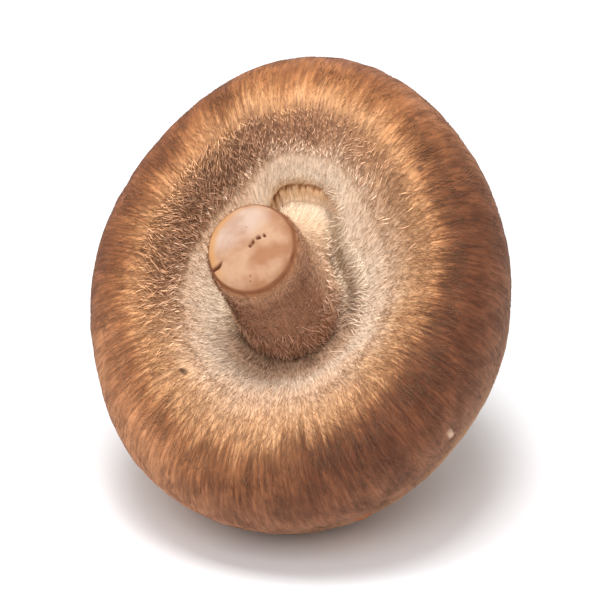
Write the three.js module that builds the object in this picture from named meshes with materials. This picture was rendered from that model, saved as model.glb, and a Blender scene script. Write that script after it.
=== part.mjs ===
import * as THREE from "three";

// A shiitake mushroom picked young: a domed cap with its edge rolled under, gills inside the
// roll and a short cut stem, grown as one piece. It lies on its dome with the stem up.

// Lie of the mushroom, degrees
const STEM_RISE = 44.9; // the stem's axis above the floor
const STEM_TURN = 23.2; // the stem's axis to the left of straight ahead
const FLAT_DEPTH = 2; // millimetres that the resting spot takes off the dome

// Mesh steps, millimetres
const DOME_STEP = 1.5;
const FUNNEL_STEP = 1.7;
const STEM_STEP = 1.8;
const LEAST_COLUMNS = 8;
const LENGTH_SAMPLES = 60;

// Half section from the dome's apex to the stem's cut end: [radius, height] in millimetres, with
// height along the stem's axis and 0 at the widest part of the cap
const DOME = [
  [0, -25.6], [5, -25.3], [10.5, -24], [16, -21.2], [20.8, -17], [24.7, -11.6], [27.4, -5.4], [28.8, 0.6],
];
const ROLL = [[28.6, 4.8], [27, 8.2], [24.4, 10.2], [21.4, 10.6]];
const FUNNEL = [[18.6, 9.4], [16.1, 7.2], [13.8, 4.6], [11.6, 1.9], [9.4, -0.7], [7.5, -1.7]];
const CHAMBER = [
  [7.9, -2.5], [12, -2.5], [15.2, -2.4], [18, -3.2], [18.6, -4.8], [17.2, -6.2], [14, -6.4], [10.6, -6.2],
];
const ROOT = [[8.2, -5.2], [7.3, -3.4], [6.9, 0], [6.6, 4.2]];
const STEM = [[6.3, 8.4], [6.25, 12.2], [6, 14.4], [5.1, 15.5], [3.2, 15.9], [0, 16]];

// The same stretches where the rolled edge stands open and shows the gills
const FUNNEL_OPEN = [[18.6, 9.4], [17, 8.1], [16.1, 6.8], [15.5, 5.5], [15.1, 4.3], [15, 3.2]];
const CHAMBER_OPEN = [
  [15.4, 2.6], [16.4, 2.3], [17.5, 1.9], [18, 1], [17.9, 0.2], [17, -0.4], [15.4, -0.6], [14.2, -0.2],
];
const ROOT_OPEN = [[13.3, 0.5], [12.5, 1.4], [11.2, 2.2], [8.8, 4]];
const OPENING_AT = 94; // degrees round the axis
const OPENING_HALF_WIDTH = 28;

// Cap outline seen along the axis: [waves round the cap, cosine share, sine share]
const OUTLINE_SCALE = 1.02;
const OUTLINE_WAVES = [[2, -0.067, -0.023], [3, 0.005, -0.002], [4, 0.01, 0.007], [5, -0.004, 0.002]];
const STEM_OUTLINE_SHARE = 0.25; // share of those waves that is left at the stem

// The funnel sits off the cap's middle, and the stem leans further by its end, millimetres
const FUNNEL_SHIFT = new THREE.Vector2(-1.9, -0.8);
const LEAN = new THREE.Vector2(-1.2, 2.2);
const LEAN_FROM = -4; // heights between which the lean grows
const LEAN_TO = 18;

const GILLS = 48;
const GILL_HEIGHT = 2.4;

// Swells on the cap: [degrees round, degrees from the apex, height, width] in millimetres
const SWELLS = [[270, 34, 2, 11], [234, 88, 0.5, 8], [60, 60, 0.6, 10], [150, 45, 0.5, 9], [355, 70, 0.4, 8]];

// Raised straps where the skin has split and healed, on a flat map of the dome round its apex:
// each strap is a row of [x, y, half width] in millimetres
const STRAP_HEIGHT = 0.7;
const STRAP_EDGE = [0.6, 1.5]; // where its side falls off, in half widths from its middle
const STRAPS = [
  [[-26, 12, 0.5], [-15, 9, 1.7], [-4, 8, 2.2], [8, 12, 1.9], [20, 20, 0.5]],
  [[-5, 8, 1.6], [-9, -3, 2], [-15, -14, 1.6], [-18, -20, 0.4]],
  [[4, 10, 1.6], [9, 0, 2], [18, -7, 1.7], [27, -9, 0.5]],
  [[2, 10, 1.4], [3, 20, 1.9], [-1, 31, 1.6], [-2, 38, 0.4]],
  [[-13, 10, 1.2], [-17, 20, 1.7], [-16, 31, 0.5]],
  [[7, 4, 1.2], [2, -5, 1.6], [3, -15, 0.5]],
  [[-9, -3, 1.1], [0, -2, 1.4], [10, 1, 1.1]],
  [[13, 14, 1], [16, 25, 1.5], [13, 35, 0.4]],
  [[-22, 2, 0.4], [-17, -2, 1.3], [-11, -4, 1]],
  [[22, 4, 0.4], [16, 2, 1.3], [10, 3, 1]],
];
const MAP_RADIUS = 27; // millimetres of the flat map to one radian from the apex

// The dried split across the cut end of the stem
const SPLIT_AT = 45; // degrees round the axis
const SPLIT_DEPTH = 0.6;
const SPLIT_HALF_WIDTH = 0.7;

const SECTION = [...DOME, ...ROLL, ...FUNNEL, ...CHAMBER, ...ROOT, ...STEM];
const SECTION_OPEN = [...DOME, ...ROLL, ...FUNNEL_OPEN, ...CHAMBER_OPEN, ...ROOT_OPEN, ...STEM];
const KNOTS = SECTION.length - 1;

// Places along the section, counted in its knots
const CREST = DOME.length + ROLL.length - 1;
const LIP = CREST + FUNNEL.length;
const GILLS_FROM = LIP + 5;
const STEM_FROM = LIP + CHAMBER.length + 1;
const CUT_EDGE = STEM_FROM + ROOT.length + 2;
const GILLS_RISE = [GILLS_FROM, GILLS_FROM + 1.5];
const GILLS_END = [STEM_FROM - 1.6, STEM_FROM - 0.2];
const GILL_RINGS_FROM = GILLS_FROM - 1;
const GILL_RINGS_TO = STEM_FROM + 0.5;
const ROOT_FROM = GILLS_FROM + 2;

const closedCurve = new THREE.SplineCurve(SECTION.map(([r, h]) => new THREE.Vector2(r, h)));
const openCurve = new THREE.SplineCurve(SECTION_OPEN.map(([r, h]) => new THREE.Vector2(r, h)));
const UP = new THREE.Vector3(0, 0, 1);
const radians = THREE.MathUtils.degToRad;
const smooth = (from, to, x) => THREE.MathUtils.smoothstep(x, from, to);

// 1 in the middle of the opening, 0 round the rest of the cap
function openShare(around) {
  const off = Math.atan2(Math.sin(around - radians(OPENING_AT)), Math.cos(around - radians(OPENING_AT)));
  return Math.exp(-((off / radians(OPENING_HALF_WIDTH)) ** 4));
}

// Radius and height of one point of the section
function sectionPoint(along, around) {
  const closed = closedCurve.getPoint(along / KNOTS);
  return closed.lerp(openCurve.getPoint(along / KNOTS), openShare(around));
}

// How far the outline stands out in this direction; it fades down the funnel, which is rounder
function outlineFactor(along, around) {
  let waves = 0;
  for (const [count, cosine, sine] of OUTLINE_WAVES) {
    waves += cosine * Math.cos(count * around) + sine * Math.sin(count * around);
  }
  const size = THREE.MathUtils.lerp(OUTLINE_SCALE, 1, smooth(CREST, LIP, along));
  const share = THREE.MathUtils.lerp(1, STEM_OUTLINE_SHARE, smooth(CREST, LIP, along));
  return (1 + waves * share) * size;
}

// The gills rise over one stretch of the section and end before the stem
function gillShare(along) {
  return smooth(...GILLS_RISE, along) * (1 - smooth(...GILLS_END, along));
}

// Height of the straps at one point of the dome's flat map
function strapHeight(x, y) {
  let height = 0;
  for (const strap of STRAPS) {
    for (let i = 1; i < strap.length; i++) {
      const [x0, y0, w0] = strap[i - 1];
      const [x1, y1, w1] = strap[i];
      const span = (x1 - x0) ** 2 + (y1 - y0) ** 2;
      const t = THREE.MathUtils.clamp(((x - x0) * (x1 - x0) + (y - y0) * (y1 - y0)) / span, 0, 1);
      const away = Math.hypot(x - x0 - t * (x1 - x0), y - y0 - t * (y1 - y0));
      const halfWidth = THREE.MathUtils.lerp(w0, w1, t);
      height = Math.max(height, STRAP_HEIGHT * (1 - smooth(...STRAP_EDGE, away / halfWidth)));
    }
  }
  return height;
}

// Swells and straps push the cap's skin out from its middle
function pushSkin(point, along) {
  const out = point.clone().normalize();
  const fromApex = Math.acos(THREE.MathUtils.clamp(-out.z, -1, 1));
  const around = Math.atan2(out.y, out.x);
  const x = MAP_RADIUS * fromApex * Math.cos(around);
  const y = MAP_RADIUS * fromApex * Math.sin(around);
  let push = strapHeight(x, y);
  for (const [turn, tip, height, width] of SWELLS) {
    const middle = new THREE.Vector3(Math.sin(radians(tip)), 0, -Math.cos(radians(tip)));
    middle.applyAxisAngle(UP, radians(turn));
    const away = out.angleTo(middle) * MAP_RADIUS;
    push += height * Math.exp(-((away / width) ** 2));
  }
  return point.addScaledVector(out, push * (1 - smooth(CREST - 1, CREST, along)));
}

// One point of the surface in the mushroom's own frame, its axis up; ridge is 1 on a gill's edge
function surfacePoint(along, around, ridge) {
  const section = sectionPoint(along, around);
  const radius = section.x * outlineFactor(along, around);
  const point = new THREE.Vector3(radius * Math.cos(around), radius * Math.sin(around), section.y);
  point.z += GILL_HEIGHT * ridge * gillShare(along);
  if (along >= CUT_EDGE) {
    const off = Math.abs(point.x * Math.sin(radians(SPLIT_AT)) - point.y * Math.cos(radians(SPLIT_AT)));
    point.z -= SPLIT_DEPTH * Math.exp(-((off / SPLIT_HALF_WIDTH) ** 2));
  }
  const lean = along > ROOT_FROM ? smooth(LEAN_FROM, LEAN_TO, section.y) : 0;
  const shift = smooth(CREST, LIP, along);
  point.x += FUNNEL_SHIFT.x * shift + LEAN.x * lean;
  point.y += FUNNEL_SHIFT.y * shift + LEAN.y * lean;
  return along < CREST ? pushSkin(point, along) : point;
}

// Rings of points from one place of the section to another, evenly spaced along it
function addRings(rings, from, to, step, columns) {
  let length = 0;
  for (let i = 0; i < LENGTH_SAMPLES; i++) {
    const a = closedCurve.getPoint((from + ((to - from) * i) / LENGTH_SAMPLES) / KNOTS);
    const b = closedCurve.getPoint((from + ((to - from) * (i + 1)) / LENGTH_SAMPLES) / KNOTS);
    length += a.distanceTo(b);
  }
  const count = Math.ceil(length / step);
  for (let i = 0; i < count; i++) {
    const along = from + ((to - from) * (i + 0.5)) / count;
    const round = 2 * Math.PI * closedCurve.getPoint(along / KNOTS).x;
    rings.push({ along, columns: columns ?? Math.max(LEAST_COLUMNS, 2 * Math.round(round / step / 2)) });
  }
}

// Joins two rings of any two counts with a band of triangles
function joinRings(indices, a, b) {
  let i = 0;
  let j = 0;
  while (i < a.columns || j < b.columns) {
    const stepA = j === b.columns || (i < a.columns && (i + 1) / a.columns <= (j + 1) / b.columns);
    const lowA = a.first + (i % a.columns);
    const lowB = b.first + (j % b.columns);
    if (stepA) {
      i += 1;
      indices.push(lowA, a.first + (i % a.columns), lowB);
    } else {
      j += 1;
      indices.push(lowA, b.first + (j % b.columns), lowB);
    }
  }
}

function mushroomGeometry() {
  const rings = [];
  addRings(rings, 0, CREST, DOME_STEP);
  addRings(rings, CREST, LIP, FUNNEL_STEP);
  addRings(rings, LIP, GILL_RINGS_FROM, FUNNEL_STEP);
  addRings(rings, GILL_RINGS_FROM, GILL_RINGS_TO, FUNNEL_STEP, 2 * GILLS);
  addRings(rings, GILL_RINGS_TO, KNOTS, STEM_STEP);

  const points = [surfacePoint(0, 0, 0)];
  for (const ring of rings) {
    ring.first = points.length;
    for (let i = 0; i < ring.columns; i++) {
      points.push(surfacePoint(ring.along, (2 * Math.PI * i) / ring.columns, i % 2));
    }
  }
  points.push(surfacePoint(KNOTS, 0, 0));

  const indices = [];
  const first = rings[0];
  const last = rings[rings.length - 1];
  for (let i = 0; i < first.columns; i++) {
    indices.push(0, first.first + ((i + 1) % first.columns), first.first + i);
  }
  for (let i = 1; i < rings.length; i++) {
    joinRings(indices, rings[i - 1], rings[i]);
  }
  for (let i = 0; i < last.columns; i++) {
    indices.push(last.first + i, last.first + ((i + 1) % last.columns), points.length - 1);
  }
  return { points, indices };
}

// Lays the mushroom down, flattens the spot that it rests on, and centres it over the origin
function layDown(points) {
  const rise = radians(STEM_RISE);
  const turn = radians(STEM_TURN);
  const across = Math.cos(rise);
  const axis = new THREE.Vector3(-Math.sin(turn) * across, -Math.cos(turn) * across, Math.sin(rise));
  const level = UP.clone().cross(axis).normalize();
  const uphill = axis.clone().cross(level);
  const lie = new THREE.Matrix4().makeBasis(level, uphill, axis);
  for (const point of points) {
    point.applyMatrix4(lie);
  }
  const box = new THREE.Box3().setFromPoints(points);
  const centre = box.getCenter(new THREE.Vector3());
  const floor = box.min.z + FLAT_DEPTH;
  for (const point of points) {
    point.set(point.x - centre.x, point.y - centre.y, Math.max(point.z - floor, 0));
  }
}

const { points, indices } = mushroomGeometry();
layDown(points);
const geometry = new THREE.BufferGeometry().setFromPoints(points);
geometry.setIndex(indices);
geometry.computeVertexNormals();

const skin = new THREE.MeshStandardMaterial({ color: 0xb98758, roughness: 0.85, metalness: 0 });
const mushroom = new THREE.Mesh(geometry, skin);
mushroom.name = "mushroom";

const part = new THREE.Group();
part.add(mushroom);

export default part;
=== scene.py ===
import math

import bpy
import numpy as np
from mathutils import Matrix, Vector


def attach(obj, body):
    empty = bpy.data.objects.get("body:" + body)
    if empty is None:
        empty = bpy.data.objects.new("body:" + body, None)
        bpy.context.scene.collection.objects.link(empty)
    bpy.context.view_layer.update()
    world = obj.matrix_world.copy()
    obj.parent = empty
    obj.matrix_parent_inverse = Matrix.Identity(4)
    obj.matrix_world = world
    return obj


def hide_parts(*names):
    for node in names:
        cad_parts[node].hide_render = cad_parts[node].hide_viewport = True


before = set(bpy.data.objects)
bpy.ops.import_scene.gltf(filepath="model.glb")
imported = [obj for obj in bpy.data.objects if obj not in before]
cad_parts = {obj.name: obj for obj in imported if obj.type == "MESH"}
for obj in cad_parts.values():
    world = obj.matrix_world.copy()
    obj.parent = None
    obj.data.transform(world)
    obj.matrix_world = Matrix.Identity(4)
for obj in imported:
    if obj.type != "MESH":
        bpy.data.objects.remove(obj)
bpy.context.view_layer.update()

# Lie of the mushroom, as in the CAD part: degrees and millimetres
STEM_RISE = 44.9
STEM_TURN = 23.2
FLAT_DEPTH = 2.0
MM = 0.001

# Half section from the apex of the dome to the stem's cut end: [radius, height] in millimetres
DOME = [
    [0, -25.6], [5, -25.3], [10.5, -24], [16, -21.2], [20.8, -17], [24.7, -11.6], [27.4, -5.4], [28.8, 0.6],
]
ROLL = [[28.6, 4.8], [27, 8.2], [24.4, 10.2], [21.4, 10.6]]
FUNNEL = [[18.6, 9.4], [16.1, 7.2], [13.8, 4.6], [11.6, 1.9], [9.4, -0.7], [7.5, -1.7]]
CHAMBER = [
    [7.9, -2.5], [12, -2.5], [15.2, -2.4], [18, -3.2], [18.6, -4.8], [17.2, -6.2], [14, -6.4], [10.6, -6.2],
]
ROOT = [[8.2, -5.2], [7.3, -3.4], [6.9, 0], [6.6, 4.2]]
STEM = [[6.3, 8.4], [6.25, 12.2], [6, 14.4], [5.1, 15.5], [3.2, 15.9], [0, 16]]
FUNNEL_OPEN = [[18.6, 9.4], [17, 8.1], [16.1, 6.8], [15.5, 5.5], [15.1, 4.3], [15, 3.2]]
CHAMBER_OPEN = [
    [15.4, 2.6], [16.4, 2.3], [17.5, 1.9], [18, 1], [17.9, 0.2], [17, -0.4], [15.4, -0.6], [14.2, -0.2],
]
ROOT_OPEN = [[13.3, 0.5], [12.5, 1.4], [11.2, 2.2], [8.8, 4]]
OPENING_AT = 94
OPENING_HALF_WIDTH = 28

SECTION = np.array(DOME + ROLL + FUNNEL + CHAMBER + ROOT + STEM, float)
SECTION_OPEN = np.array(DOME + ROLL + FUNNEL_OPEN + CHAMBER_OPEN + ROOT_OPEN + STEM, float)

# Places along the section, counted in knots: one knot is the step from one point to the next
KNOTS = len(SECTION) - 1
CREST = len(DOME) + len(ROLL) - 1
LIP = CREST + len(FUNNEL)
GILLS_FROM = LIP + 5
STEM_FROM = LIP + len(CHAMBER) + 1
CUT_EDGE = STEM_FROM + len(ROOT) + 2

# Outline of the cap as waves round it: [count, cosine share, sine share]
OUTLINE_SCALE = 1.02
OUTLINE_WAVES = [[2, -0.067, -0.023], [3, 0.005, -0.002], [4, 0.01, 0.007], [5, -0.004, 0.002]]
WAVE_FADE = 0.75

# Shift of the funnel, and lean of the stem between two heights, in millimetres
FUNNEL_SHIFT = (-1.9, -0.8)
LEAN = (-1.2, 2.2)
LEAN_HEIGHTS = (-4, 18)
LEAN_FROM = GILLS_FROM + 2

# Swells of the cap: [degrees round, degrees from the apex, height, reach]
SWELLS = [[270, 34, 2, 11], [234, 88, 0.5, 8], [60, 60, 0.6, 10], [150, 45, 0.5, 9], [355, 70, 0.4, 8]]

# Gills: long ones with short ones between them, which start at a radius; both fade in past the first
# place and out before the stem, in knots
GILLS = 48
GILL_HEIGHT = 2.4
GILL_FLANK = (0.35, 0.75)
GILL_FADE_IN = 1.5
GILL_FADE_OUT = (1.6, 0.2)
SHORT_GILL = 0.75
SHORT_GILL_RADII = (11, 15)

# Raised straps on a flat map of the dome: rows of [x, y, half width] in millimetres. Their slope and
# their paint end outside the edge, and the plain slope is counted in half widths
MAP_RADIUS = 27
STRAP_HEIGHT = 0.7
STRAP_SLOPE = (-0.25, 0.3)
STRAP_PAINT = (-0.1, 0.2)
PLAIN_STRAP_SLOPE = (0.6, 1.5)
STRAPS_STOP = (CREST - 3, CREST - 1.5)
STRAPS = [
    [[-26, 12, 0.5], [-15, 9, 1.7], [-4, 8, 2.2], [8, 12, 1.9], [20, 20, 0.5]],
    [[-5, 8, 1.6], [-9, -3, 2], [-15, -14, 1.6], [-18, -20, 0.4]],
    [[4, 10, 1.6], [9, 0, 2], [18, -7, 1.7], [27, -9, 0.5]],
    [[2, 10, 1.4], [3, 20, 1.9], [-1, 31, 1.6], [-2, 38, 0.4]],
    [[-13, 10, 1.2], [-17, 20, 1.7], [-16, 31, 0.5]],
    [[7, 4, 1.2], [2, -5, 1.6], [3, -15, 0.5]],
    [[-9, -3, 1.1], [0, -2, 1.4], [10, 1, 1.1]],
    [[13, 14, 1], [16, 25, 1.5], [13, 35, 0.4]],
    [[-22, 2, 0.4], [-17, -2, 1.3], [-11, -4, 1]],
    [[22, 4, 0.4], [16, 2, 1.3], [10, 3, 1]],
]

# Tears in the straps' edges and bumps of the skin: [size, reach] in millimetres
TEARS = [[2.6, 0.7], [1.1, 0.35]]
BUMPS = [[2.2, 0.12], [0.8, 0.05]]
GROOVE_DEPTH = 0.22
GROOVE_AT = 0.35
GROOVE_HALF_WIDTH = 0.3
GROOVE_PAINT_AT = 0.3
GROOVE_PAINT_HALF_WIDTH = 0.35

# Small flakes between the straps, which end between two distances from the apex
FLAKE_LENGTH = 3.4
FLAKE_WIDTH = 1.2
FLAKE_TWIST = 0.8
FLAKE_TWIST_SIZE = 7
FLAKE_LEVEL = 0.4
FLAKE_SLOPE = 1.6
FLAKES_END = (20, 34)
FLAKES_END_RISE = 3

# The split across the cut end, in millimetres from its middle: a gash, a faint line, and pits
SPLIT_AT = 45
SPLIT_DEPTH = 0.6
SPLIT_HALF_WIDTH = 0.16
SPLIT_BEND = 0.3
SPLIT_BEND_SIZE = 1.2
GASH_END = (-4.7, -3.7)
PITS_START = (-0.6, 0)
PITS_END = (2.8, 3.4)
PIT_SIZE = 0.34
PIT_LEVELS = (0.05, 0.6)

# How deep the line, the gash and the pits are, as shares of the split's depth, and how much wider
LINE_DEPTH = 0.1
GASH_DEPTH = 1.1
PIT_DEPTH = 0.9
GASH_WIDER = 0.5
PIT_WIDER = 0.4

# Relief of the cut end: heights and sizes in millimetres, places in knots
CUT_BLEND = 0.4
DENT_HEIGHT = 0.12
DENT_SIZE = 1.6
RIM_HEIGHT = 0.14
RIM_AT = 0.35
RIM_HALF_WIDTH = 0.22
RIM_BREAK_SIZE = 1.5

# Dark spots: [place along the section in knots, degrees round, radius in millimetres, darkness]
SPOT_RAGGED = 0.35
SPOT_RAG_SIZE = 0.5
SPOTS = [
    [12.6, 237, 0.75, 0.9], [11.7, 276, 0.3, 0.8], [11.8, 67, 1.1, 0.35], [8.4, 283, 0.3, 0.6],
    [10.6, 50, 0.7, 0.7],
]

# A pale nick and a lifted flap of skin at the outer edge:
# [place in knots, degrees round, half width, half length along the section, height]
NICK = [7.2, 331, 0.35, 1.3, 0.25]
FLAP = [6.5, 301, 1.2, 0.45, 0.45]

# Seeds of the fields of noise that shape the body
TEAR_SEED = 1
BUMP_SEED = 5
BEND_SEED = 11
PIT_SEED = 12
DENT_SEED = 13
RIM_SEED = 14
SPOT_SEED = 15
FLAKE_SEED = 21
TWIST_SEED = 22


# Small tools on arrays
def smooth(low, high, x):
    t = np.clip((x - low) / (high - low), 0, 1)
    return t * t * (3 - 2 * t)


def bell(x, half_width, power=2):
    return np.exp(-((x / half_width) ** power))


def unit(vectors):
    return vectors / np.maximum(np.linalg.norm(vectors, axis=1, keepdims=True), 1e-6)


# Turn from a direction round the axis, from minus to plus half a turn
def turn_from(degrees, around):
    return (around - math.radians(degrees) + math.pi) % (2 * math.pi) - math.pi


def spline(knots, along):
    first = np.clip(np.floor(along).astype(int), 0, KNOTS - 1)
    t = (along - first)[:, None]
    a, b, c, d = (knots[np.clip(first + step, 0, KNOTS)] for step in (-1, 0, 1, 2))
    return b + 0.5 * t * (c - a + t * (2 * a - 5 * b + 4 * c - d + t * (3 * (b - c) + d - a)))


# A number from -1 to 1 for each whole cell, mixed from its place and the seed by large factors
def lattice_value(cell, seed):
    mixed = cell @ np.array([73856093, 19349663, 83492791]) + seed * 9176
    mixed = ((mixed ^ (mixed >> 13)) * 1274126177) & 0x7FFFFFFF
    mixed = ((mixed ^ (mixed >> 15)) * 69069) & 0x7FFFFFFF
    return mixed / 0x3FFFFFFF - 1


# Smooth random values from -1 to 1, one to each unit cell
def noise(points, seed):
    cell = np.floor(points).astype(np.int64)
    part = points - cell
    part = part * part * (3 - 2 * part)
    total = np.zeros(len(points))
    for corner in range(8):
        step = np.array([corner & 1, corner >> 1 & 1, corner >> 2 & 1])
        share = np.prod(np.where(step, part, 1 - part), axis=1)
        total += share * lattice_value(cell + step, seed)
    return total


# Length run along the section, in millimetres, against the place counted in knots
TABLE_SIZE = 4000
ALONG_TABLE = np.linspace(0, KNOTS, TABLE_SIZE)
SECTION_STEPS = np.diff(spline(SECTION, ALONG_TABLE), axis=0)
RUN_TABLE = np.concatenate([[0], np.cumsum(np.linalg.norm(SECTION_STEPS, axis=1))])


def run_at(along):
    return np.interp(along, ALONG_TABLE, RUN_TABLE)


def along_at(run):
    return np.interp(run, RUN_TABLE, ALONG_TABLE)


# The form of the mushroom, its axis up
def open_share(around):
    return bell(turn_from(OPENING_AT, around), math.radians(OPENING_HALF_WIDTH), 4)


def strap_map(direction):
    tilt = np.arccos(np.clip(-direction[:, 2], -1, 1))
    around = np.arctan2(direction[:, 1], direction[:, 0])
    return MAP_RADIUS * tilt * np.cos(around), MAP_RADIUS * tilt * np.sin(around)


# How far a point of the dome's map is from the middle of the nearest strap, in half widths, and
# that half width
def strap_distance(x, y):
    nearest = np.full(len(x), 9.0)
    width = np.ones(len(x))
    for strap in STRAPS:
        for (x0, y0, w0), (x1, y1, w1) in zip(strap, strap[1:]):
            span = (x1 - x0) ** 2 + (y1 - y0) ** 2
            t = np.clip(((x - x0) * (x1 - x0) + (y - y0) * (y1 - y0)) / span, 0, 1)
            away = np.hypot(x - x0 - t * (x1 - x0), y - y0 - t * (y1 - y0))
            half = w0 + (w1 - w0) * t
            closer = away / half < nearest
            nearest = np.where(closer, away / half, nearest)
            width = np.where(closer, half, width)
    return nearest, width


def gill_ridge(around, radius):
    turn = (around * GILLS / (2 * math.pi)) % 1
    wave = 1 - np.abs(2 * turn - 1)
    long_gill = smooth(*GILL_FLANK, wave)
    short_gill = SHORT_GILL * smooth(*GILL_FLANK, 1 - wave) * smooth(*SHORT_GILL_RADII, radius)
    return np.maximum(long_gill, short_gill)


# How far outside the nearest strap's edge a direction from the cap's middle is, in millimetres;
# the edges are torn, and small flakes lie between the straps
def strap_edge(out):
    x, y = strap_map(out)
    flat = np.stack([x, y, np.zeros(len(x))], 1)
    bent_x, bent_y = x, y
    for seed, (size, reach) in enumerate(TEARS, TEAR_SEED):
        bent_x = bent_x + reach * noise(flat / size, seed)
        bent_y = bent_y + reach * noise(flat / size, seed + len(TEARS))
    away, width = strap_distance(bent_x, bent_y)
    edge = (away - 1) * width
    twist = FLAKE_TWIST * noise(flat / FLAKE_TWIST_SIZE, TWIST_SEED)
    long = x * np.cos(twist) + y * np.sin(twist)
    across = y * np.cos(twist) - x * np.sin(twist)
    turned = np.stack([long / FLAKE_LENGTH, across / FLAKE_WIDTH, np.zeros(len(x))], 1)
    flake = noise(turned, FLAKE_SEED)
    end = FLAKES_END_RISE * smooth(*FLAKES_END, np.hypot(x, y))
    return np.minimum(edge, np.maximum(FLAKE_SLOPE * (FLAKE_LEVEL + end - flake), 0))


# Depth of the dried split across the stem's cut end: a gash at one side, then a faint line that
# ends in a row of small pits
def split_depth(x, y):
    turn = math.radians(SPLIT_AT)
    across = x * math.sin(turn) - y * math.cos(turn)
    run = x * math.cos(turn) + y * math.sin(turn)
    line = np.stack([run, 0 * run, 0 * run], 1)
    bend = SPLIT_BEND * noise(line / SPLIT_BEND_SIZE, BEND_SEED)
    gash = 1 - smooth(*GASH_END, run)
    pits = smooth(*PIT_LEVELS, noise(line / PIT_SIZE, PIT_SEED))
    pits = pits * smooth(*PITS_START, run) * (1 - smooth(*PITS_END, run))
    width = SPLIT_HALF_WIDTH * (1 + GASH_WIDER * gash + PIT_WIDER * pits)
    depth = SPLIT_DEPTH * (LINE_DEPTH + GASH_DEPTH * gash + PIT_DEPTH * pits)
    return depth * bell(across - bend, width)


# Relief of the stem's cut end: the split, shallow dents and a dried rim
def dress_cut(points, along):
    on_cut = smooth(CUT_EDGE - CUT_BLEND, CUT_EDGE, along)
    points[:, 2] -= on_cut * split_depth(points[:, 0], points[:, 1])
    points[:, 2] += DENT_HEIGHT * on_cut * noise(points / DENT_SIZE, DENT_SEED)
    rim = RIM_HEIGHT * bell(along - CUT_EDGE - RIM_AT, RIM_HALF_WIDTH)
    points[:, 2] += rim * (1 + noise(points / RIM_BREAK_SIZE, RIM_SEED))


def mark_share(mark, along, around, radius):
    place, degrees, half_width, half_length, _ = mark
    across = bell(turn_from(degrees, around) * radius, half_width, 4)
    return across * bell(run_at(along) - run_at(place), half_length, 4)


# Fine relief of the dome's skin: torn straps, the grooves beside them, bumps, the nick and the flap
def skin_push(points, out, along, around, radius):
    edge = strap_edge(out)
    push = STRAP_HEIGHT * (1 - smooth(*STRAP_SLOPE, edge))
    push -= GROOVE_DEPTH * bell(edge - GROOVE_AT, GROOVE_HALF_WIDTH)
    for seed, (size, height) in enumerate(BUMPS, BUMP_SEED):
        push += height * noise(points / size, seed)
    for mark in (NICK, FLAP):
        push += mark[-1] * mark_share(mark, along, around, radius)
    return push


def form(along, around, fine=True):
    share = open_share(around)[:, None]
    section = spline(SECTION, along) * (1 - share) + spline(SECTION_OPEN, along) * share
    waves = 0
    for count, cosine, sine in OUTLINE_WAVES:
        waves = waves + cosine * np.cos(count * around) + sine * np.sin(count * around)
    shift = smooth(CREST, LIP, along)
    size = OUTLINE_SCALE + (1 - OUTLINE_SCALE) * shift
    radius = section[:, 0] * (1 + waves * (1 - WAVE_FADE * shift)) * size
    gills_start = smooth(GILLS_FROM, GILLS_FROM + GILL_FADE_IN, along)
    gills_stop = 1 - smooth(STEM_FROM - GILL_FADE_OUT[0], STEM_FROM - GILL_FADE_OUT[1], along)
    height = section[:, 1] + GILL_HEIGHT * gills_start * gills_stop * gill_ridge(around, radius)
    points = np.stack([radius * np.cos(around), radius * np.sin(around), height], 1)
    if fine:
        dress_cut(points, along)
    lean = np.where(along > LEAN_FROM, smooth(*LEAN_HEIGHTS, section[:, 1]), 0)
    points[:, 0] += FUNNEL_SHIFT[0] * shift + LEAN[0] * lean
    points[:, 1] += FUNNEL_SHIFT[1] * shift + LEAN[1] * lean

    out = unit(points)
    if fine:
        push = skin_push(points, out, along, around, radius)
    else:
        push = STRAP_HEIGHT * (1 - smooth(*PLAIN_STRAP_SLOPE, strap_distance(*strap_map(out))[0]))
    for degrees, tip_degrees, rise, spread in SWELLS:
        turn = math.radians(degrees)
        tip = math.radians(tip_degrees)
        middle = np.array([math.sin(tip) * math.cos(turn), math.sin(tip) * math.sin(turn), -math.cos(tip)])
        apart = np.arccos(np.clip(out @ middle, -1, 1)) * MAP_RADIUS
        push = push + rise * bell(apart, spread)
    points += out * (push * (1 - smooth(CREST - 1, CREST, along)))[:, None]
    return points


AXIS = np.array([
    -math.sin(math.radians(STEM_TURN)) * math.cos(math.radians(STEM_RISE)),
    -math.cos(math.radians(STEM_TURN)) * math.cos(math.radians(STEM_RISE)),
    math.sin(math.radians(STEM_RISE)),
])
LEVEL = np.cross([0, 0, 1], AXIS) / math.cos(math.radians(STEM_RISE))
LIE = np.stack([LEVEL, np.cross(AXIS, LEVEL), AXIS])


# The move that lays the plain form down in the CAD part's place
def find_place():
    rings = np.linspace(0, KNOTS, 300)
    columns = np.linspace(0, 2 * math.pi, 200)
    along, around = np.meshgrid(rings, columns)
    points = form(along.ravel(), around.ravel(), fine=False) @ LIE
    low = points.min(0)
    high = points.max(0)
    return np.array([(low[0] + high[0]) / 2, (low[1] + high[1]) / 2, low[2] + FLAT_DEPTH])


PLACE = find_place()


def lay_down(points):
    laid = points @ LIE - PLACE
    laid[:, 2] = np.maximum(laid[:, 2], 0)
    return laid * MM


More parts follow.
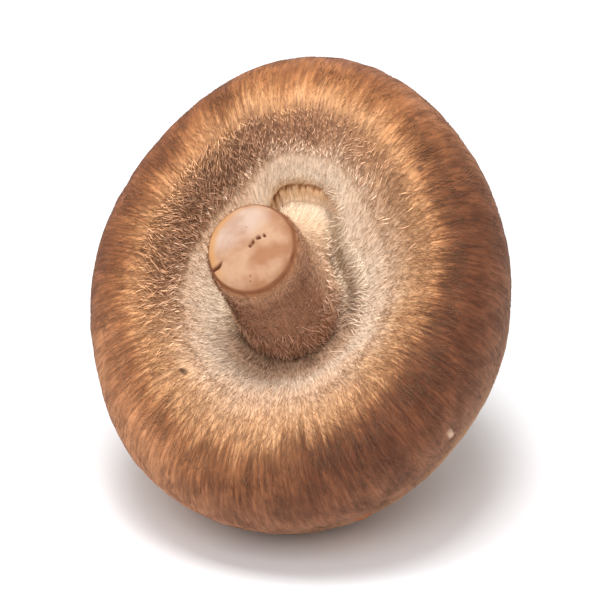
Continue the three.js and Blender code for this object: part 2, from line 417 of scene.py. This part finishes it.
def new_mesh(name, points, faces, attributes, paint, soft=True):
    mesh = bpy.data.meshes.new(name)
    mesh.vertices.add(len(points))
    mesh.vertices.foreach_set("co", points.astype(np.float32).ravel())
    mesh.loops.add(faces.size)
    mesh.loops.foreach_set("vertex_index", faces.astype(np.int32).ravel())
    mesh.polygons.add(len(faces))
    mesh.polygons.foreach_set("loop_start", np.arange(len(faces), dtype=np.int32) * 3)
    mesh.update(calc_edges=True)
    for key, values in attributes.items():
        mesh.attributes.new(key, "FLOAT", "POINT").data.foreach_set("value", values.astype(np.float32))
    if soft:
        mesh.shade_smooth()
    mesh.materials.append(paint)
    piece = bpy.data.objects.new(name, mesh)
    bpy.context.scene.collection.objects.link(piece)
    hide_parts("mushroom")
    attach(piece, "root")


# Sides that the colours tell apart: the way each faces round the axis, in degrees, and the cosines
# between which it fades in
SIDES = {
    "upper_left": (138, 0.1, 0.85), "upper": (88, 0.2, 0.9), "right": (-14, 0.0, 0.8),
    "left": (185, 0.2, 0.95), "lower_left": (232, 0.8, 1), "below": (295, -0.3, 0.7),
    "bottom": (290, 0.6, 0.95),
}


# Where each point is on the mushroom, which its material reads
def place_attributes(along, around):
    attributes = {
        "along": along, "run": run_at(along), "around_x": np.cos(around), "around_y": np.sin(around),
    }
    for name, (degrees, low, high) in SIDES.items():
        attributes[name] = smooth(low, high, np.cos(around - math.radians(degrees)))
    return attributes


# Bands of the body's mesh: from, to, and the steps along and round in millimetres; where no step
# round is given, each gill has its own columns
COLUMNS_PER_GILL = 14
FEWEST_COLUMNS = 8
BANDS = [
    (0, CREST, 0.43, 0.45), (CREST, LIP, 0.36, 0.36), (LIP, GILLS_FROM - 1.5, 0.6, 0.6),
    (GILLS_FROM - 1.5, STEM_FROM, 0.5, None), (STEM_FROM, CUT_EDGE - 0.5, 0.36, 0.36),
    (CUT_EDGE - 0.5, KNOTS, 0.17, 0.17),
]


# Rings of the body: the place of each along the section, and its number of points
def ring_list():
    rings = []
    for start, stop, step, step_round in BANDS:
        count = math.ceil((run_at(stop) - run_at(start)) / step)
        runs = np.linspace(run_at(start), run_at(stop), count, endpoint=False) + step / 2
        for along, (radius, _) in zip(along_at(runs), spline(SECTION, along_at(runs))):
            columns = COLUMNS_PER_GILL * GILLS
            if step_round:
                columns = max(FEWEST_COLUMNS, round(2 * math.pi * radius / step_round))
            rings.append((along, columns))
    return rings


# Triangles between two neighbouring rings
def join(faces, a_first, a_count, b_first, b_count):
    i = j = 0
    while i < a_count or j < b_count:
        if j == b_count or (i < a_count and (i + 1) * b_count <= (j + 1) * a_count):
            faces.append((a_first + i % a_count, a_first + (i + 1) % a_count, b_first + j % b_count))
            i += 1
        else:
            faces.append((a_first + i % a_count, b_first + (j + 1) % b_count, b_first + j % b_count))
            j += 1


# Places and triangles of the body: its rings between the apex of the dome and the cut's middle
def body_net():
    rings = ring_list()
    along, around, first = [[0]], [[0]], []
    total = 1
    for place, columns in rings:
        first.append(total)
        total += columns
        along.append(np.full(columns, place))
        around.append(2 * math.pi * np.arange(columns) / columns)
    along = np.concatenate(along + [[KNOTS]])
    around = np.concatenate(around + [[0]])
    faces = [(0, first[0] + (i + 1) % rings[0][1], first[0] + i) for i in range(rings[0][1])]
    for i in range(1, len(rings)):
        join(faces, first[i - 1], rings[i - 1][1], first[i], rings[i][1])
    last = rings[-1][1]
    faces += [(first[-1] + i, first[-1] + (i + 1) % last, total) for i in range(last)]
    return along, around, np.array(faces)


def make_body(paint):
    along, around, faces = body_net()
    points = form(along, around)
    attributes = place_attributes(along, around)
    edge = strap_edge(unit(points))
    skin = 1 - smooth(*STRAPS_STOP, along)
    attributes["strap"] = skin * (1 - smooth(*STRAP_PAINT, edge))
    attributes["groove"] = skin * bell(edge - GROOVE_PAINT_AT, GROOVE_PAINT_HALF_WIDTH)
    attributes["spot"] = np.zeros(len(along))
    for place, degrees, size, shade in SPOTS:
        away = np.linalg.norm(points - form(np.array([place]), np.radians([degrees])), axis=1)
        away = away * (1 + SPOT_RAGGED * noise(points / SPOT_RAG_SIZE, SPOT_SEED))
        spot = shade * (1 - smooth(0.5 * size, size, away))
        attributes["spot"] = np.maximum(attributes["spot"], spot)
    radius = spline(SECTION, along)[:, 0]
    attributes["nick"] = mark_share(NICK, along, around, radius)
    attributes["flap"] = mark_share(FLAP, along, around, radius)
    split = split_depth(radius * np.cos(around), radius * np.sin(around)) / SPLIT_DEPTH
    attributes["split"] = smooth(CUT_EDGE - CUT_BLEND, CUT_EDGE, along) * split
    new_mesh("mushroom_body", lay_down(points), faces, attributes, paint)


# Fine hairs: each is a thin closed spike of 3 sides, rooted just under the surface; its ridge is low.
# Hairs drift aside as a patch does, and each one by itself
HAIR_RIDGE = 0.45
HAIR_TAPER = 0.35
HAIR_BEND = 0.7
HAIR_ROOT_DEPTH = 0.08
HAIR_CLEARANCE = 0.03
HAIR_RISES = (0.4, 1.3)
HAIR_PATCH = 4
SHARED_DRIFT = 0.3
OWN_DRIFT = 0.14
OPEN_TRIM = 0.5
SPOT_MARGIN = 0.6
TRIES = 4


# 1 where hairs may grow, less at the dark spots
def spot_free(run, around, radius):
    free = np.ones(len(run))
    for place, degrees, size, shade in SPOTS:
        aside = turn_from(degrees, around) * radius
        free *= 1 - shade * (np.hypot(aside, run - run_at(place)) < size + SPOT_MARGIN)
    return free


# Where the hairs of a set grow: the run along the section, the angle and the radius of each
def scatter_hairs(random, count, start, stop, centre, spread, bare):
    tries = TRIES * count
    run = random.uniform(run_at(start), run_at(stop), tries)
    around = random.uniform(0, 2 * math.pi, tries)
    if spread:
        around = np.radians(random.normal(centre, spread, tries))
    radius = spline(SECTION, along_at(run))[:, 0]
    share = radius / radius.max() * (1 - bare * open_share(around)) * spot_free(run, around, radius)
    kept = np.flatnonzero(random.uniform(0, 1, tries) < share)[:count]
    return run[kept], around[kept], radius[kept]


# Points of the surface, with the directions along the section, round the axis and outward
def surface_frame(run, around):
    step = 0.15
    turn_step = 0.01
    root = form(along_at(run), around, fine=False)
    before = form(along_at(run - step), around, fine=False)
    ahead = unit(form(along_at(run + step), around, fine=False) - before)
    beside = unit(form(along_at(run), around + turn_step, fine=False) - root)
    return root, ahead, beside, unit(np.cross(beside, ahead))


# Triangles of one hair: its closed root, its sides and its tip
def hair_faces(rings):
    faces = [(0, 1, 2)]
    for ring in range(rings - 1):
        for i in range(3):
            a = 3 * ring + i
            b = 3 * ring + (i + 1) % 3
            faces += [(a, b + 3, b), (a, a + 3, b + 3)]
    last = 3 * (rings - 1)
    return np.array(faces + [(last + (i + 1) % 3, last + i, last + 3) for i in range(3)])


# One set of hairs between two places along the section, in millimetres. A hair that hugs follows the
# surface, and a wild one turns aside. A set with a spread lies round its centre, in degrees. The
# bare share is missing at the opening
def make_hairs(name, paint, seed, count, start, stop, length, width, lift,
               hug=0, inward=1, bent=True, wild=1, centre=0, spread=None, bare=0):
    random = np.random.default_rng(seed)
    run, around, radius = scatter_hairs(random, count, start, stop, centre, spread, bare)
    count = len(run)
    size = random.uniform(*length, count) * (1 - OPEN_TRIM * open_share(around))
    tone = random.uniform(0, 1, count)
    patch = np.stack([HAIR_PATCH * np.cos(around), HAIR_PATCH * np.sin(around), run / HAIR_PATCH], 1)
    drift = wild * (SHARED_DRIFT * noise(patch, seed) + OWN_DRIFT * random.normal(0, 1, count))
    rise = lift * random.uniform(*HAIR_RISES, count)
    root, ahead, beside, normal = surface_frame(run, around)

    stations = (0, 0.5, 1) if bent else (0, 1)
    corners = []
    tips = []
    for t in stations:
        turn = around + drift * size / radius * t
        near = form(along_at(run + inward * size * t), turn, fine=False)
        free = root + inward * ahead * (size * t)[:, None] + beside * ((turn - around) * radius)[:, None]
        height = rise * t ** HAIR_BEND * size + (HAIR_CLEARANCE if t > 0 else -HAIR_ROOT_DEPTH)
        spine = hug * near + (1 - hug) * free + normal * height[:, None]
        if t < 1:
            half = width * 0.5 * (1 - HAIR_TAPER * t) * (0.7 + 0.6 * tone)
            side = beside * half[:, None]
            top = normal * (HAIR_RIDGE * half)[:, None]
            corners += [spine + side, spine + top, spine - side]
            tips += [t, t, t]
        else:
            corners.append(spine)
            tips.append(t)
    points = np.stack(corners, 1).reshape(-1, 3)
    starts = len(corners) * np.arange(count)[:, None, None]
    faces = (starts + hair_faces(len(stations) - 1)[None]).reshape(-1, 3)
    if inward < 0:
        faces = faces[:, ::-1]
    attributes = {}
    for key, values in place_attributes(along_at(run), around).items():
        attributes[key] = np.repeat(values, len(corners))
    attributes["tone"] = np.repeat(tone, len(corners))
    attributes["tip"] = np.tile(np.array(tips, float), count)
    new_mesh(name, lay_down(points), faces, attributes, paint, soft=False)


# Colours by name, as red, green and blue from 0 to 255
COLOURS = {
    "tan": (160, 112, 74), "light_tan": (196, 148, 102), "patch": (134, 92, 66), "fleck": (104, 64, 40),
    "strap": (208, 166, 124), "pale_strap": (228, 192, 150), "groove": (108, 68, 44),
    "speckle": (96, 62, 44), "spot": (70, 40, 26), "nick": (216, 178, 152), "flap": (150, 84, 42),
    "cut": (158, 110, 78), "rosy_cut": (184, 144, 114), "grey_cut": (198, 174, 158),
    "golden_cut": (196, 142, 90), "pit": (120, 76, 50), "split": (116, 70, 44), "rim": (128, 78, 48),
    "hair_tip": (232, 200, 166),
}

# Factors that darken and lighten a colour
CLOUD_TONES = ((0.74, 0.68, 0.64, 1), (1.14, 1.12, 1.1, 1))
STREAK_TONES = ((0.56, 0.48, 0.42, 1), (1.12, 1.1, 1.06, 1))
FIBRE_TONES = ((0.74, 0.71, 0.68, 1), (1.1, 1.08, 1.06, 1))
COMBED_TONES = ((0.72, 0.68, 0.64, 1), (1.12, 1.1, 1.08, 1))
CURLY_TONES = ((0.55, 0.46, 0.4, 1), (1.8, 1.95, 2.15, 1))

# Where the dome's skin ends, the hairy part starts and ends, and the cut starts, in knots
SKIN_END = (4.6, 7.0)
HAIRY_START = (5.0, 7.5)
HAIRY_END = (31.4, 32.2)
CUT_START = (32.0, 32.2)
RAGGED_END = (15.5, 16.6)
RELIEF_DEPTH = 0.0004


# Materials, built from small node helpers
def linear(red, green, blue):
    def channel(value):
        value /= 255
        return value / 12.92 if value <= 0.04045 else ((value + 0.055) / 1.055) ** 2.4

    return channel(red), channel(green), channel(blue), 1


def named(name):
    return linear(*COLOURS[name])


class Paint:
    def __init__(self, name):
        self.material = bpy.data.materials.new(name)
        self.material.use_nodes = True
        self.nodes = self.material.node_tree.nodes
        self.links = self.material.node_tree.links
        self.shader = self.nodes["Principled BSDF"]

    def put(self, socket, value):
        if isinstance(value, bpy.types.NodeSocket):
            self.links.new(value, socket)
        else:
            socket.default_value = value

    def finish(self, colour, roughness, specular):
        self.put(self.shader.inputs["Base Color"], colour)
        self.put(self.shader.inputs["Roughness"], roughness)
        self.put(self.shader.inputs["Specular IOR Level"], specular)
        return self.material

    def attribute(self, name):
        node = self.nodes.new("ShaderNodeAttribute")
        node.attribute_name = name
        return node.outputs["Fac"]

    def place(self):
        return self.nodes.new("ShaderNodeTexCoord").outputs["Object"]

    def math(self, operation, *values):
        node = self.nodes.new("ShaderNodeMath")
        node.operation = operation
        for socket, value in zip(node.inputs, values):
            self.put(socket, value)
        return node.outputs[0]

    def times(self, first, *others):
        for other in others:
            first = self.math("MULTIPLY", first, other)
        return first

    # What is left of 1
    def rest(self, value):
        return self.math("SUBTRACT", 1, value)

    def band(self, value, low, high):
        node = self.nodes.new("ShaderNodeMapRange")
        node.interpolation_type = "SMOOTHSTEP"
        for key, number in (("Value", value), ("From Min", low), ("From Max", high)):
            self.put(node.inputs[key], number)
        return node.outputs[0]

    # 1 between two rises of the value, 0 outside them
    def window(self, value, low, full, fall, high):
        return self.times(self.band(value, low, full), self.rest(self.band(value, fall, high)))

    def mix(self, share, first, second, blend="MIX"):
        node = self.nodes.new("ShaderNodeMix")
        node.data_type = "RGBA"
        node.blend_type = blend
        for socket, value in zip((node.inputs[0], node.inputs[6], node.inputs[7]), (share, first, second)):
            self.put(socket, value)
        return node.outputs[2]

    # A colour multiplied by another one, by a share
    def shade(self, share, colour, factor):
        return self.mix(share, colour, self.mix(1.0, colour, factor, "MULTIPLY"))

    def vector(self, x, y, z):
        node = self.nodes.new("ShaderNodeCombineXYZ")
        for socket, value in zip(node.inputs, (x, y, z)):
            self.put(socket, value)
        return node.outputs[0]

    # A vector whose noise runs in streaks along the section, as the fibres do
    def fibre_vector(self, thickness, stretch):
        x = self.times(self.attribute("around_x"), thickness)
        y = self.times(self.attribute("around_y"), thickness)
        return self.vector(x, y, self.math("DIVIDE", self.attribute("run"), stretch))

    def noise(self, vector, scale=1, detail=2, roughness=0.5):
        node = self.nodes.new("ShaderNodeTexNoise")
        self.put(node.inputs["Vector"], vector)
        self.put(node.inputs["Scale"], scale)
        self.put(node.inputs["Detail"], detail)
        self.put(node.inputs["Roughness"], roughness)
        return node.outputs[0]

    # Round specks, 1 at their middles, that fade out between two distances
    def specks(self, vector, scale, near, far):
        node = self.nodes.new("ShaderNodeTexVoronoi")
        self.put(node.inputs["Vector"], vector)
        self.put(node.inputs["Scale"], scale)
        return self.rest(self.band(node.outputs["Distance"], near, far))

    def ramp(self, value, stops):
        node = self.nodes.new("ShaderNodeValToRGB")
        self.put(node.inputs[0], value)
        steps = node.color_ramp.elements
        while len(steps) < len(stops):
            steps.new(0.5)
        for step, (position, colour) in zip(steps, stops):
            step.position = position
            step.color = colour
        return node.outputs[0]

    def bump(self, height, distance, strength):
        node = self.nodes.new("ShaderNodeBump")
        self.put(node.inputs["Height"], height)
        self.put(node.inputs["Distance"], distance)
        self.put(node.inputs["Strength"], strength)
        return node.outputs[0]


# Colours along the section, by knot: from the dome's skin to the stem's cut end. The stops of the funnel,
# the gills and the stem's root are partly their own cream and partly painted light, set paler to lift the
# shade in those hollows
ZONES = [
    (4.8, (182, 134, 92)), (6.4, (176, 130, 98)), (7.6, (174, 124, 92)), (8.6, (166, 114, 80)),
    (9.6, (154, 100, 62)), (10.2, (176, 120, 76)), (10.8, (208, 154, 108)), (11.6, (218, 168, 124)),
    (12.4, (230, 188, 148)), (13.4, (244, 212, 182)), (15.2, (252, 234, 212)), (16.8, (248, 226, 200)),
    (19.0, (255, 214, 170)), (24.5, (255, 218, 176)), (26.5, (250, 230, 204)), (28.6, (236, 204, 172)),
    (31.4, (206, 160, 124)), (31.9, (170, 118, 84)), (32.1, (140, 86, 52)), (32.4, (150, 96, 60)),
    (33.0, (190, 150, 122)), (35.0, (190, 158, 134)),
]

# How far the zones between crest and lip lie further in at two sides, in knots
LATE = {"right": 0.25, "left": 0.5}

# Darker and paler sides: where each rises and falls, in knots, its side, strength and colour. Most dark rows
# are partly the cap's own browner colour and partly painted shade: on the right and left flanks, the lower
# side of the flank and of the crest, the dark band at the upper left, the funnel under the stem where its
# shadow falls, and the stem's underside
SIDE_TINTS_AND_PAINTED_SHADE = [
    ((7.0, 8.4, 9.6, 11.4), "right", 0.9, (102, 58, 34)),
    ((4.8, 6.4, 7.4, 8.6), "right", 0.55, (116, 72, 50)),
    ((6.0, 7.4, 8.4, 9.2), "upper_left", 0.6, (126, 84, 72)),
    ((6.4, 7.6, 9.4, 11.2), "left", 0.68, (130, 80, 50)),
    ((5.0, 6.5, 9.8, 11.2), "below", 0.33, (112, 68, 46)),
    ((5.5, 7.0, 9.4, 10.4), "lower_left", 0.65, (206, 148, 106)),
    ((11.0, 11.7, 12.3, 13.4), "upper_left", 0.75, (160, 110, 80)),
    ((11.0, 11.7, 12.3, 13.4), "upper", 0.4, (160, 112, 82)),
    ((11.0, 12.0, 14.0, 15.5), "bottom", 0.4, (212, 164, 126)),
    ((9.6, 10.3, 10.9, 11.6), "bottom", 0.3, (104, 62, 38)),
    ((14.5, 16.2, 17.6, 18.4), "below", 0.7, (206, 158, 124)),
    ((25.6, 26.4, 30.4, 31.8), "below", 0.85, (164, 116, 90)),
]

# How streaky each zone is: the knot and the share
STREAKY = [
    (5.0, 0.0), (8.4, 0.35), (9.4, 0.85), (11.2, 0.75), (12.4, 0.5), (14.0, 0.25), (31.0, 0.25), (32.0, 0.0),
]


# Places along the section, moved about by noise so that the zones have ragged borders
def ragged_along(paint):
    broad = paint.math("SUBTRACT", paint.noise(paint.fibre_vector(thickness=5, stretch=9)), 0.5)
    ragged = paint.math("SUBTRACT", paint.noise(paint.fibre_vector(thickness=70, stretch=7)), 0.5)
    wander = paint.math("ADD", paint.times(broad, 1.2), paint.times(ragged, 2.0))
    wander = paint.times(wander, paint.rest(paint.band(paint.attribute("along"), *RAGGED_END)))
    along = paint.math("ADD", paint.attribute("along"), wander)
    late = paint.math("ADD", *(paint.times(paint.attribute(side), knots) for side, knots in LATE.items()))
    return paint.math("SUBTRACT", along, paint.times(late, paint.window(along, 7, 9, 14, 16)))


# The colour of each zone, with its darker sides (partly painted shade), its clouds and its streaks
def zone_colour(paint):
    along = ragged_along(paint)
    place = paint.math("DIVIDE", along, KNOTS)
    colour = paint.ramp(place, [(knot / KNOTS, linear(*shade)) for knot, shade in ZONES])
    # Mix in the side tints: the cap's own darker colour together with painted shade on the sides away from
    # the light
    for span, side, strength, shade in SIDE_TINTS_AND_PAINTED_SHADE:
        share = paint.times(paint.window(along, *span), paint.attribute(side), strength)
        colour = paint.mix(share, colour, linear(*shade))

    clouds = paint.noise(paint.fibre_vector(thickness=9, stretch=5), detail=3, roughness=0.55)
    clouds = paint.band(clouds, 0.36, 0.64)
    clouds = paint.mix(clouds, *CLOUD_TONES)
    colour = paint.shade(paint.window(along, 6.0, 7.4, 10.2, 11.4), colour, clouds)
    streaks = paint.noise(paint.fibre_vector(thickness=75, stretch=5), detail=3, roughness=0.6)
    streaks = paint.mix(paint.band(streaks, 0.36, 0.6), *STREAK_TONES)
    share = paint.ramp(place, [(knot / KNOTS, (level, level, level, 1)) for knot, level in STREAKY])
    share = paint.times(share, paint.band(paint.attribute("below"), -1.2, 1))
    share = paint.times(share, paint.rest(paint.times(paint.attribute("upper_left"), 0.4)))
    return paint.shade(share, colour, streaks)


# The dome's skin: mottled tan, brown flecks, and pale straps with dark torn edges
def dome_colour(paint, place, mottle, grain):
    skin = paint.mix(mottle, named("tan"), named("light_tan"))
    patches = paint.band(paint.noise(place, scale=55), 0.55, 0.72)
    skin = paint.mix(paint.times(patches, 0.55), skin, named("patch"))
    flecks = paint.specks(place, scale=620, near=0.12, far=0.26)
    flecks = paint.times(flecks, paint.band(paint.noise(place, scale=240, detail=1), 0.48, 0.6))
    skin = paint.mix(paint.times(flecks, 0.75), skin, named("fleck"))
    strap = paint.mix(paint.band(grain, 0.35, 0.65), named("strap"), named("pale_strap"))
    skin = paint.mix(paint.attribute("strap"), skin, strap)
    return paint.mix(paint.times(paint.attribute("groove"), 0.75), skin, named("groove"))


# The cut end: dry and rosy, greyer at the upper left, golden at the left, with pits, a dark split and
# a dark rim
def cut_colour(paint, place, along):
    cloud = paint.band(paint.noise(place, scale=260, detail=3), 0.35, 0.65)
    cut = paint.mix(cloud, named("cut"), named("rosy_cut"))
    grey = paint.times(paint.attribute("upper_left"), paint.window(along, 32.5, 33.5, 34.0, 35.0))
    cut = paint.mix(paint.times(grey, paint.band(cloud, -0.8, 0.6), 0.7), cut, named("grey_cut"))
    golden = paint.times(paint.attribute("left"), paint.window(along, 32.1, 32.3, 32.9, 33.6))
    cut = paint.mix(paint.times(golden, 0.8), cut, named("golden_cut"))
    pits = paint.specks(place, scale=900, near=0.1, far=0.2)
    pits = paint.times(pits, paint.band(paint.noise(place, scale=300, detail=1), 0.56, 0.66))
    cut = paint.mix(paint.times(pits, 0.6), cut, named("pit"))
    cut = paint.mix(paint.band(paint.attribute("split"), 0.05, 0.8), cut, named("split"))
    rim = paint.times(paint.window(along, 31.9, 32.05, 32.35, 32.7), paint.band(cloud, -0.6, 0.4))
    return paint.mix(rim, cut, named("rim"))


def body_paint():
    paint = Paint("mushroom_skin")
    place = paint.place()
    along = paint.attribute("along")
    on_dome = paint.rest(paint.band(along, *SKIN_END))
    hairy = paint.times(paint.band(along, *HAIRY_START), paint.rest(paint.band(along, *HAIRY_END)))
    streaks = paint.noise(paint.fibre_vector(thickness=60, stretch=2.4), detail=3, roughness=0.6)
    mottle = paint.band(paint.noise(place, scale=160, detail=3, roughness=0.6), 0.35, 0.68)
    grain = paint.noise(place, scale=900)

    fibres = paint.mix(paint.band(streaks, 0.35, 0.65), *FIBRE_TONES)
    colour = paint.shade(hairy, zone_colour(paint), fibres)
    colour = paint.mix(on_dome, colour, dome_colour(paint, place, mottle, grain))

    # Fine speckle on the flank next to the skin, dark spots on the roll, the nick and the flap
    low_flank = paint.window(along, 4.5, 5.5, 7.6, 9.0)
    dots = paint.specks(place, scale=1100, near=0.1, far=0.3)
    dots = paint.times(dots, low_flank, paint.band(mottle, 0.2, 0.8))
    colour = paint.mix(paint.times(dots, 0.4), colour, named("speckle"))
    for mark in ("spot", "nick", "flap"):
        colour = paint.mix(paint.attribute(mark), colour, named(mark))
    colour = paint.mix(paint.band(along, *CUT_START), colour, cut_colour(paint, place, along))

    relief = paint.math("ADD", paint.times(streaks, hairy), paint.times(grain, on_dome, 0.5))
    paint.put(paint.shader.inputs["Normal"], paint.bump(relief, distance=RELIEF_DEPTH, strength=0.7))
    return paint.finish(colour, roughness=0.82, specular=0.3)


# Hairs take the colour of the zone that they grow from, painted shade and light included, darker to paler by
# the hair's own tone
def hair_paint(name, tones):
    paint = Paint(name)
    tone = paint.mix(paint.band(paint.attribute("tone"), 0.2, 0.9), *tones)
    colour = paint.mix(1.0, zone_colour(paint), tone, "MULTIPLY")
    colour = paint.mix(paint.times(paint.attribute("tip"), 0.15), colour, named("hair_tip"))
    return paint.finish(colour, roughness=0.75, specular=0.25)


def make_mushroom():
    make_body(body_paint())
    combed = hair_paint("combed_hairs", COMBED_TONES)
    curly = hair_paint("curly_hairs", CURLY_TONES)
    make_hairs("flank_hairs", combed, seed=21, count=7000, start=6.0, stop=10.2,
               length=(1.0, 2.2), width=0.07, lift=0.012, hug=1, wild=1.8)
    make_hairs("crest_hairs", combed, seed=22, count=9000, start=9.4, stop=12.2,
               length=(0.8, 1.7), width=0.075, lift=0.03, hug=1, wild=1.8)
    make_hairs("slope_hairs", combed, seed=23, count=10000, start=11.0, stop=13.6,
               length=(0.7, 1.5), width=0.085, lift=0.2, bent=False, wild=2)
    make_hairs("band_hairs", curly, seed=29, count=4500, start=11.3, stop=13.3,
               length=(0.8, 1.7), width=0.13, lift=0.45, wild=4, centre=138, spread=34)
    make_hairs("funnel_hairs", combed, seed=24, count=9000, start=13.0, stop=16.9,
               length=(0.6, 1.4), width=0.08, lift=0.1, bent=False, wild=1.5)
    make_hairs("lip_hairs", combed, seed=25, count=3500, start=15.8, stop=16.9,
               length=(0.8, 1.8), width=0.09, lift=0.3, bent=False, wild=3, bare=0.6)
    make_hairs("veil_hairs", combed, seed=30, count=3500, start=15.2, stop=17.2,
               length=(1.6, 3.4), width=0.1, lift=0.35, wild=3, centre=36, spread=20, bare=0.3)
    make_hairs("root_hairs", curly, seed=28, count=3000, start=26.8, stop=29.0,
               length=(0.6, 1.4), width=0.1, lift=0.5, inward=-1, wild=4, bare=0.95)
    make_hairs("stem_hairs", curly, seed=26, count=5000, start=28.4, stop=31.9,
               length=(0.4, 1.0), width=0.09, lift=0.4, wild=5, bare=0.7)
    make_hairs("skin_hairs", combed, seed=27, count=4000, start=4.6, stop=6.6,
               length=(0.5, 1.4), width=0.09, lift=0.05, bent=False)


# Floor, light and camera, in metres and degrees
FLOOR_REACH = 3
LIGHT_TARGET = (0, 0, 0.02)
CAMERA_TARGET = (0, 0, 0.027)
CAMERA_RISE = 28
CAMERA_DISTANCE = 0.7
CAMERA_NEAREST = 0.01
SENSOR_WIDTH = 36
FRAME_SPAN = 0.078


def make_floor():
    mesh = bpy.data.meshes.new("floor")
    far = FLOOR_REACH
    mesh.from_pydata([(-far, -far, 0), (far, -far, 0), (far, far, 0), (-far, far, 0)], [], [(0, 1, 2, 3)])
    floor = bpy.data.objects.new("floor", mesh)
    bpy.context.scene.collection.objects.link(floor)
    paint = bpy.data.materials.new("floor")
    paint.use_nodes = True
    shader = paint.node_tree.nodes["Principled BSDF"]
    shader.inputs["Base Color"].default_value = (0.9, 0.9, 0.91, 1)
    shader.inputs["Roughness"].default_value = 0.9
    mesh.materials.append(paint)


# Where something stands that looks at the mushroom from a turn to the left and a rise above the floor
def stand(turn, rise, distance):
    turn = math.radians(turn)
    rise = math.radians(rise)
    return distance * Vector((
        -math.sin(turn) * math.cos(rise), -math.cos(turn) * math.cos(rise), math.sin(rise),
    ))


def aim(thing, target):
    thing.rotation_euler = (Vector(target) - thing.location).to_track_quat("-Z", "Y").to_euler()


def make_light(name, turn, rise, distance, size, watts):
    lamp = bpy.data.lights.new(name, "AREA")
    lamp.size = size
    lamp.energy = watts
    light = bpy.data.objects.new(name, lamp)
    light.location = stand(turn, rise, distance)
    bpy.context.scene.collection.objects.link(light)
    aim(light, LIGHT_TARGET)


def make_world():
    world = bpy.data.worlds.new("studio")
    world.use_nodes = True
    background = world.node_tree.nodes["Background"]
    background.inputs["Color"].default_value = (0.95, 0.97, 1, 1)
    background.inputs["Strength"].default_value = 0.55
    bpy.context.scene.world = world
    bpy.context.scene.view_settings.view_transform = "Standard"


def make_camera():
    lens = bpy.data.cameras.new("camera")
    camera = bpy.data.objects.new("camera", lens)
    camera.location = Vector(CAMERA_TARGET) + stand(0, CAMERA_RISE, CAMERA_DISTANCE)
    bpy.context.scene.collection.objects.link(camera)
    aim(camera, CAMERA_TARGET)
    lens.sensor_width = SENSOR_WIDTH
    lens.lens = SENSOR_WIDTH * CAMERA_DISTANCE / FRAME_SPAN
    lens.clip_start = CAMERA_NEAREST
    bpy.context.scene.camera = camera


make_mushroom()
make_floor()
make_light("key", turn=30, rise=82, distance=0.7, size=0.3, watts=4)
make_light("fill", turn=12, rise=45, distance=0.9, size=0.5, watts=3.4)
make_world()
make_camera()
